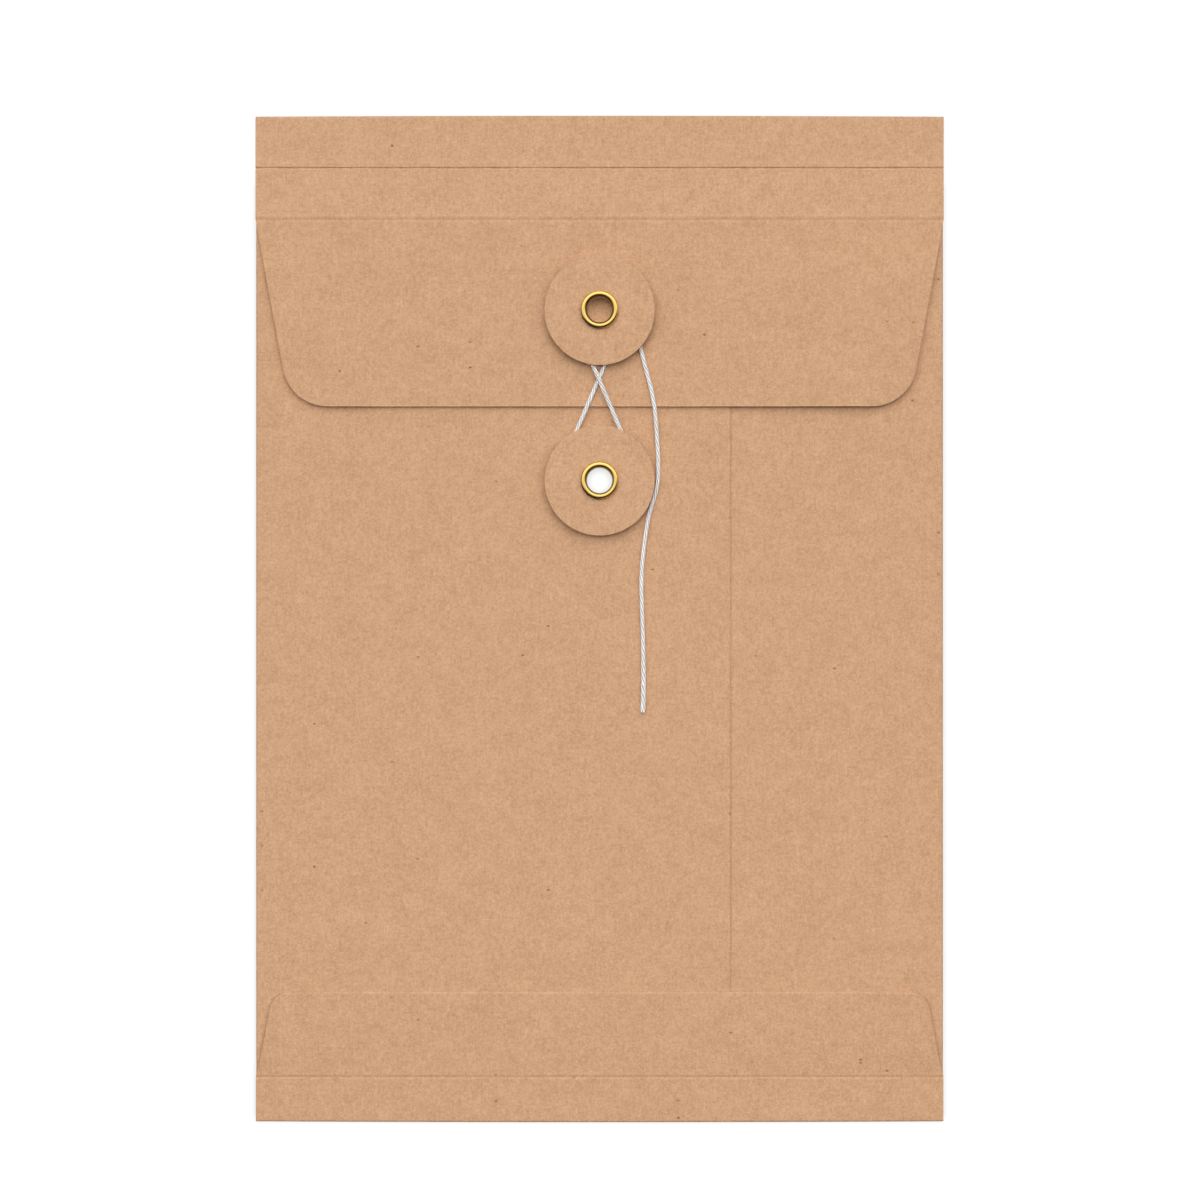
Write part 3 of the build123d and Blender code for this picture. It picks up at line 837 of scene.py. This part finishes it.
def turned(name, profile, centre_y, material, sharp=40, **marks):
    """A ring turned about an upright axis: a closed outline of (radius, height) points carried round the axis,
    with its marks."""
    radius, height = profile[:, :1], profile[:, 1:]
    x = radius * np.cos(AROUND)
    y = centre_y + radius * np.sin(AROUND)
    z = np.broadcast_to(height, x.shape)
    index = np.arange(x.size).reshape(x.shape)
    below, beside = np.roll(index, -1, axis=0), np.roll(index, -1, axis=1)
    quads = np.stack([index, beside, np.roll(below, -1, axis=1), below], axis=-1).reshape(-1, 4)
    points = np.stack([x, y, z], axis=-1).reshape(-1, 3)
    marks = {mark: np.broadcast_to(values, x.shape).ravel() for mark, values in marks.items()}
    return add_piece(name, points, quads, material, sharp=sharp, flat=points * [1, 1, 2.0], **marks)


def arc(centre, radius, start, end, count):
    """Points on an elliptical arc in the (radius, height) plane, angles in degrees."""
    angle = np.radians(np.linspace(start, end, count))
    return np.stack([centre[0] + radius[0] * np.cos(angle), centre[1] + radius[1] * np.sin(angle)], axis=-1)


def card_disc(name, centre_y, under):
    """A die-cut card disc: flat faces, a small round on the rim, and the card pressed down a little under the
    flange."""
    top = under + DISC_CARD
    edge = DISC_ROUND
    outer_lines = np.linspace(FLAT_START, DISC_RADIUS - RIM_CELL, 8)
    top_radius = np.concatenate([[DISC_BORE], np.linspace(*PRESS_LINES, 9), outer_lines])
    pressed = DISC_PRESS * (1 - smooth((top_radius - PRESS_START) / PRESS_EASE))
    profile = np.concatenate([
        np.stack([top_radius, top - pressed], axis=-1),
        arc((DISC_RADIUS - edge, top - edge), (edge, edge), 90, 0, 7),
        arc((DISC_RADIUS - edge, under + edge), (edge, edge), 0, -90, 7),
        np.array([[DISC_BORE + UNDER_CELL, under], [DISC_BORE, under]]),
    ])
    return turned(name, profile, centre_y, disc_kraft, sharp=60)


def brass_eyelet(name, centre_y, clinch_z, flange_z):
    """An eyelet: a straight bore that flares into a rolled rim over the disc, and a clinched roll under the
    backing ring."""
    low_middle = (EYELET_BORE + EYELET_CLINCH) / 2
    crest_z = flange_z + EYELET_RISE
    flare, roll = EYELET_FLARE, EYELET_ROLL
    profile = np.concatenate([
        arc((EYELET_CREST, crest_z - flare), (EYELET_CREST - EYELET_BORE, flare), 180, 90, 21),
        arc((EYELET_CREST, crest_z - roll), (EYELET_FLANGE - EYELET_CREST, roll), 90, 0, 21)[1:],
        arc((EYELET_FLANGE - FLANGE_LIP[0], flange_z + FLANGE_LIP[1] - FLANGE_REST), FLANGE_LIP, 0, -90, 7),
        np.array([[EYELET_BARREL, flange_z - FLANGE_REST], [EYELET_BARREL, clinch_z]]),
        arc((low_middle, clinch_z), (EYELET_CLINCH - low_middle, CLINCH_ROLL), 0, -180, 17),
    ])
    radius = profile[:, :1]
    bore = smooth((EYELET_BORE + BORE_EASE - radius) / BORE_EASE)
    # The foot of the rim is painted dark all round as painted shade and dark reflection, most at the near left
    away = np.cos(AROUND - radians(SHADE_TURN))
    near_left = smooth((away - SHADE_START) / (1 - SHADE_START))
    foot = (FOOT_SHADE_LEAST + (1 - FOOT_SHADE_LEAST) * near_left)
    foot = foot * smooth((radius - FOOT_START + SHADE_WIDER * near_left) / DARK_EASE)
    # Painted shade in the inner flare above the bore
    dull = FLARE_DARK * smooth((FLARE_EDGE - radius) / DARK_EASE) * (1 - bore) + foot
    return turned(name, profile, centre_y, eyelet_brass, sharp=50, bore=bore, dull=dull)


upper_card_disc = card_disc("upper_card_disc", UPPER_Y, UPPER_DISC_Z)
lower_card_disc = card_disc("lower_card_disc", LOWER_Y, LOWER_DISC_Z)
over_disc = DISC_CARD + FLANGE_GAP
upper_brass_eyelet = brass_eyelet("upper_brass_eyelet", UPPER_Y, UPPER_CLINCH_Z, UPPER_DISC_Z + over_disc)
lower_brass_eyelet = brass_eyelet("lower_brass_eyelet", LOWER_Y, LOWER_CLINCH_Z, LOWER_DISC_Z + over_disc)
for piece, body, node_name, slot_name in (
    (upper_card_disc, "upper_disc", "upper_washer", "kraft_card"),
    (lower_card_disc, "lower_disc", "lower_washer", "kraft_card"),
    (upper_brass_eyelet, "flap_end", "upper_eyelet", "eyelet_brass"),
    (lower_brass_eyelet, "pocket", "lower_eyelet", "eyelet_brass"),
):
    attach(piece, body)
    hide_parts(node_name)
for node_name in ("upper_backing_patch", "lower_backing_patch"):
    patch = frame["nodes"][node_name]
    patch.data.materials.clear()
    patch.data.materials.append(patch_kraft)


# The string

def round_turn(centre, radius, start, sweep_angle, z, count):
    """Control points of a turn: the corners of a polygon drawn round the circle, so that the spline touches the
    circle."""
    step = sweep_angle / count
    angle = np.radians(start + step * (np.arange(count) + 0.5))
    reach = radius / cos(radians(step / 2))
    x, y = centre[0] + reach * np.cos(angle), centre[1] + reach * np.sin(angle)
    return np.stack([x, y, np.full(count, z)], axis=-1)


def on_strand(start, heading, length, shares, levels):
    """Points at shares of a straight strand in plan, each at its own height."""
    reach = length * np.array(shares)
    angle = radians(heading)
    x, y = start[0] + reach * cos(angle), start[1] + reach * sin(angle)
    return np.stack([x, y, np.array(levels)], axis=-1)


LOWER_TURN = (-0.21, LOWER_Y, 9.62, 2.05)
UPPER_TURN = (0.34, UPPER_Y, 6.94, HITCH_Z)
HITCH_DROP = 6.63
DOWN_SHARES = (0.0, 0.22, 0.58, 0.907)
UP_SHARES = (0.08, 0.246, 0.570, 0.632, 0.685, 0.92)
FLAP_STRING_Z = 2.95
LOWER_RIM_RISE = 0.55
CROSSING_Z = 4.49
UPPER_RIM_Z = 3.55
TAIL_SLANT = 14.2
TAIL_POINTS = np.array([
    (8.93, 68.23, 3.33),
    (11.05, 60.10, 2.98),
    (12.55, 54.60, 2.98),
    (13.32, 49.75, 2.98),
    (13.78, 43.85, 2.12),
    (14.14, 38.10, 2.06),
    (13.98, 31.60, 2.06),
    (11.85, 25.60, 2.06),
    (10.70, 18.18, 2.06),
    (9.90, 9.78, 2.06),
    (10.22, 1.60, 2.06),
    (10.48, -7.05, 2.06),
    (10.60, -15.70, 2.06),
    (10.38, -22.30, 2.06),
])


def string_route():
    """Hitch round the upper barrel, down to the lower disc and round it, up across itself, over the upper barrel,
    and off to the cut end."""
    hitch_start = np.array([[HITCH_RADIUS - HITCH_TAIL, UPPER_Y - HITCH_RADIUS, HITCH_Z]])
    hitch = round_turn((0, UPPER_Y), HITCH_RADIUS, -90, -270, HITCH_Z, 18)
    bend = (HITCH_RADIUS, UPPER_Y - HITCH_DROP)
    lower_x, lower_y, lower_radius, lower_z = LOWER_TURN
    upper_x, upper_y, upper_radius, upper_z = UPPER_TURN

    reach = hypot(lower_x - bend[0], lower_y - bend[1])
    heading = degrees(atan2(lower_y - bend[1], lower_x - bend[0]) - asin(lower_radius / reach))
    levels = (HITCH_Z, FLAP_STRING_Z, FLAP_STRING_Z, lower_z)
    down = on_strand(bend, heading, sqrt(reach ** 2 - lower_radius ** 2), DOWN_SHARES, levels)

    span = hypot(upper_x - lower_x, upper_y - lower_y)
    cross = asin((lower_radius + upper_radius) / span)
    rise = degrees(atan2(upper_y - lower_y, upper_x - lower_x) + cross)
    lower_turn = round_turn((lower_x, lower_y), lower_radius, heading + 270, rise - heading, lower_z, 15)
    leave = (lower_x + lower_radius * sin(radians(rise)), lower_y - lower_radius * cos(radians(rise)))
    levels = (lower_z, lower_z + LOWER_RIM_RISE, CROSSING_Z, CROSSING_Z, UPPER_RIM_Z, upper_z)
    up = on_strand(leave, rise, span * cos(cross), UP_SHARES, levels)
    upper_turn = round_turn((upper_x, upper_y), upper_radius, rise + 90, TAIL_SLANT - rise - 90, upper_z, 13)
    return np.concatenate([hitch_start, hitch, down, lower_turn, up, upper_turn, TAIL_POINTS])


def spline_points(route, spacing):
    """Evenly spaced points read from a NURBS spline that has the route as its control points."""
    curve = bpy.data.curves.new("string_route", "CURVE")
    curve.dimensions = "3D"
    curve.resolution_u = 16
    spline = curve.splines.new("NURBS")
    spline.points.add(len(route) - 1)
    spline.points.foreach_set("co", np.column_stack([route, np.ones(len(route))]).ravel())
    spline.order_u = 3
    spline.use_endpoint_u = True
    carrier = bpy.data.objects.new("string_route", curve)
    bpy.context.scene.collection.objects.link(carrier)
    bpy.context.view_layer.update()
    line = bpy.data.meshes.new_from_object(carrier.evaluated_get(bpy.context.evaluated_depsgraph_get()))
    points = np.empty(len(line.vertices) * 3)
    line.vertices.foreach_get("co", points)
    points = points.reshape(-1, 3)
    bpy.data.objects.remove(carrier)
    bpy.data.curves.remove(curve)
    bpy.data.meshes.remove(line)
    run = np.concatenate([[0], np.cumsum(np.linalg.norm(np.diff(points, axis=0), axis=1))])
    at = np.linspace(0, run[-1], int(run[-1] / spacing) + 1)
    return np.stack([np.interp(at, run, points[:, k]) for k in range(3)], axis=-1), at


def level_frame(points):
    """Along a line that is never upright: its direction, the level direction beside it and the one above it."""
    ahead = np.gradient(points, axis=0)
    ahead /= np.linalg.norm(ahead, axis=1, keepdims=True)
    beside = np.cross([0, 0, 1.0], ahead)
    beside /= np.linalg.norm(beside, axis=1, keepdims=True)
    return ahead, beside, np.cross(ahead, beside)


def twisted_strands(name, points, run, sides=12):
    """Round strands that wind round the line: each one's middle turns once in a lay, and a ring of points is
    carried along it. They swell a little towards the cut end."""
    _, beside, above = level_frame(points)
    turn = -2 * pi * run[:, None] / STRAND_LAY + 2 * pi * np.arange(STRANDS) / STRANDS
    swell = 1 + SWELL_SHARE * smooth((run - run[-1] + SWELL_LENGTH) / SWELL_LENGTH)[:, None, None]
    ring = np.linspace(0, 2 * pi, sides, endpoint=False)
    # Arrays run over points along the line, strands, and places round a strand
    turn = turn[:, :, None]
    side = swell * (STRAND_ORBIT * np.cos(turn) + STRAND_RADIUS * np.cos(ring + turn))
    lift = swell * (STRAND_ORBIT * np.sin(turn) + STRAND_RADIUS * np.sin(ring + turn))
    skin = (
        points[:, None, None, :]
        + side[..., None] * beside[:, None, None, :]
        + lift[..., None] * above[:, None, None, :]
    )
    shape = (len(points), STRANDS, sides)
    index = np.arange(side.size).reshape(shape)
    ends = skin[[0, -1]].mean(axis=2).reshape(-1, 3)
    tips = index.size + np.arange(2 * STRANDS).reshape(2, STRANDS, 1)
    caps = np.concatenate([cap(tips[0], index[0]), cap(tips[1], index[-1], last=True)])
    yarn = np.stack([
        np.broadcast_to(run[:, None, None], shape),
        np.broadcast_to(STRAND_RADIUS * np.abs(ring - pi), shape),
        np.broadcast_to(STRAND_SHIFT * np.arange(STRANDS)[:, None], shape),
    ], axis=-1).reshape(-1, 3)
    return add_piece(
        name, np.concatenate([skin.reshape(-1, 3), ends]), tube(index), string_cotton, caps, sharp=70,
        yarn=np.concatenate([yarn, np.zeros((2 * STRANDS, 3))]),
    )


def hitch_knot(name):
    """The hitch's tight wraps: a rounded box along Y whose radius swells in slanted ridges, closed by a pole at
    each end."""
    half_x, half_y, half_z = KNOT_HALF
    around = np.linspace(0, 2 * pi, 48, endpoint=False)
    share = np.linspace(-0.985, 0.985, 33)[:, None]
    outline = (1 - np.abs(share) ** 5) ** 0.2
    ridge = 1 - KNOT_RIDGE * np.cos(3 * pi * share + around) ** 2
    power = 0.75
    side = half_x * np.sign(np.cos(around)) * np.abs(np.cos(around)) ** power
    lift = half_z * np.sign(np.sin(around)) * np.abs(np.sin(around)) ** power
    x = HITCH_RADIUS + side * outline * ridge
    z = HITCH_Z + lift * outline * ridge
    y = np.broadcast_to(UPPER_Y - HITCH_RADIUS + half_y * share, x.shape)
    index = np.arange(x.size).reshape(x.shape)
    poles = np.array([[HITCH_RADIUS, UPPER_Y - HITCH_RADIUS + end, HITCH_Z] for end in (-half_y, half_y)])
    caps = np.concatenate([cap(x.size, index[0]), cap(x.size + 1, index[-1], last=True)])
    points = np.concatenate([np.stack([x, y, z], axis=-1).reshape(-1, 3), poles])
    yarn = np.stack([points[:, 1] * 2, points[:, 0] + points[:, 2], np.full(len(points), KNOT_SHIFT)], axis=-1)
    return add_piece(name, points, tube(index), string_cotton, caps, yarn=yarn)


route = string_route()
string_line, string_run = spline_points(route, STRING_STEP)
tie_string = twisted_strands("tie_string", string_line, string_run)
tie_knot = hitch_knot("tie_knot")
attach(tie_string, "flap_end")
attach(tie_knot, "flap_end")
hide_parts("string_winding", "string_tail")
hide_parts("string_knot")


# Floor, light and camera

SKY_LEVEL = 6.544
TOP_FADE = 0.46
FOOT_FADE = 0.08
SIDE_FADE = 0.42
SKY_FLOOR = 0.04
ROOM_LEVEL = 1.04
ROOM_TOP = 0.64
ROOM_DARK = 0.97
FLOOR_HALF = 1500.0
FLOOR_DROP = 0.02
FLOOR_REACH = 1.7
END_SHADE_START = 119.0
END_SHADE_FULL = 120.5
FLOOR_GLOW = 0.93
FLOOR_SHADE = 0.42
END_SHADE_LESS = 0.26
FLOOR_MATT = 0.11
CAMERA_PLACE = (0.1, 4.63, 577.0)
LENS = 71.87
SENSOR = 36.0
NEAREST = 10.0


def pale_floor():
    """A floor that shows as plain white and shades close beside what lies on it, least beyond its two ends."""
    corners = FLOOR_HALF * MM * np.array([(-1, -1), (1, -1), (1, 1), (-1, 1)])
    mesh = bpy.data.meshes.new("floor")
    mesh.from_pydata([(x, y, -FLOOR_DROP * MM) for x, y in corners], [], [(0, 1, 2, 3)])
    floor = bpy.data.objects.new("floor", mesh)
    bpy.context.scene.collection.objects.link(floor)
    material = bpy.data.materials.new("floor_white")
    material.use_nodes = True
    tree = material.node_tree
    tree.nodes.clear()
    path = tree.nodes.new("ShaderNodeLightPath")
    seen = math(tree, "MAXIMUM", path.outputs["Is Camera Ray"], path.outputs["Is Transmission Ray"])
    seen = math(tree, "MAXIMUM", seen, path.outputs["Is Glossy Ray"])
    nearby = node(tree, "ShaderNodeAmbientOcclusion", samples=16, Distance=FLOOR_REACH * MM)
    here = tree.nodes.new("ShaderNodeTexCoord").outputs["Object"]
    place = node(tree, "ShaderNodeSeparateXYZ", Vector=here)
    beyond = level(tree, math(tree, "ABSOLUTE", place.outputs["Y"]), END_SHADE_START * MM, END_SHADE_FULL * MM)
    shade = math(tree, "MULTIPLY_ADD", beyond, -END_SHADE_LESS, FLOOR_SHADE)
    white = math(tree, "MULTIPLY_ADD", nearby.outputs["AO"], shade, math(tree, "SUBTRACT", FLOOR_GLOW, shade))
    glow = node(tree, "ShaderNodeEmission", Color=(1, 1, 1, 1), Strength=math(tree, "MULTIPLY", seen, white))
    matt = node(tree, "ShaderNodeBsdfDiffuse", Color=(FLOOR_MATT, FLOOR_MATT, FLOOR_MATT, 1))
    both = tree.nodes.new("ShaderNodeAddShader")
    tree.links.new(glow.outputs[0], both.inputs[0])
    tree.links.new(matt.outputs[0], both.inputs[1])
    node(tree, "ShaderNodeOutputMaterial", Surface=both.outputs[0])
    mesh.materials.append(material)


def soft_sky():
    """Soft light as the photo's shadows show it: strongest overhead, fading with the slope towards the top fold and
    to both sides. Bright metal shows a plainer room, brighter towards the top fold and dark at the near side, but
    throws only the soft light on the paper beside it."""
    world = bpy.data.worlds.new("soft_sky")
    bpy.context.scene.world = world
    world.use_nodes = True
    tree = world.node_tree
    tree.nodes.clear()
    direction = tree.nodes.new("ShaderNodeTexCoord").outputs["Generated"]
    x, y, z = node(tree, "ShaderNodeSeparateXYZ", Vector=direction).outputs
    height = math(tree, "MAXIMUM", z, 0.05)
    slope_x = math(tree, "DIVIDE", math(tree, "ABSOLUTE", x), height)
    slope_y = math(tree, "DIVIDE", y, height)
    to_top = math(tree, "MULTIPLY", math(tree, "MAXIMUM", slope_y, 0.0), 1 / TOP_FADE)
    to_foot = math(tree, "MULTIPLY", math(tree, "MINIMUM", slope_y, 0.0), -1 / FOOT_FADE)
    fade = math(tree, "ADD", math(tree, "MULTIPLY_ADD", slope_x, 1 / SIDE_FADE, to_top), to_foot)
    faded = math(tree, "EXPONENT", math(tree, "MULTIPLY", fade, -1.0))
    glow = math(tree, "DIVIDE", faded, math(tree, "POWER", height, 4.0))
    soft = math(tree, "MULTIPLY_ADD", glow, SKY_LEVEL, SKY_FLOOR)

    sideways = math(tree, "MULTIPLY_ADD", math(tree, "ABSOLUTE", x), 0.225, math(tree, "MULTIPLY", x, 0.125))
    near_side = math(tree, "MULTIPLY_ADD", y, -0.87, sideways)
    dark = level(tree, near_side, 0.08, 0.45)
    room = math(tree, "MULTIPLY_ADD", level(tree, y, 0.1, 0.6), ROOM_TOP, ROOM_LEVEL)
    room = math(tree, "MULTIPLY", room, math(tree, "MULTIPLY_ADD", level(tree, z, 0.0, 0.35), 0.75, 0.25))
    room = math(tree, "MULTIPLY", room, math(tree, "MULTIPLY_ADD", dark, -ROOM_DARK, 1.0))

    path = tree.nodes.new("ShaderNodeLightPath")
    strength = node(tree, "ShaderNodeMix", data_type="FLOAT")
    scattered = math(tree, "MINIMUM", path.outputs["Diffuse Depth"], 1.0)
    tree.links.new(math(tree, "SUBTRACT", path.outputs["Is Glossy Ray"], scattered), strength.inputs[0])
    tree.links.new(soft, strength.inputs[2])
    tree.links.new(room, strength.inputs[3])
    seen = math(tree, "MAXIMUM", path.outputs["Is Camera Ray"], path.outputs["Is Transmission Ray"])
    backdrop = node(tree, "ShaderNodeMix", data_type="FLOAT")
    backdrop.inputs[3].default_value = 1
    tree.links.new(seen, backdrop.inputs[0])
    tree.links.new(strength.outputs[0], backdrop.inputs[2])
    sky = node(tree, "ShaderNodeBackground", Color=(1, 1, 1, 1), Strength=backdrop.outputs[0])
    node(tree, "ShaderNodeOutputWorld", Surface=sky.outputs[0])


pale_floor()
soft_sky()

camera = bpy.data.objects.new("camera", bpy.data.cameras.new("camera"))
bpy.context.scene.collection.objects.link(camera)
camera.data.sensor_width = SENSOR
camera.data.lens = LENS
camera.data.clip_start = NEAREST * MM
camera.location = [place * MM for place in CAMERA_PLACE]
camera.rotation_euler = (0, 0, 0)
bpy.context.scene.camera = camera
bpy.context.scene.view_settings.view_transform = "Standard"
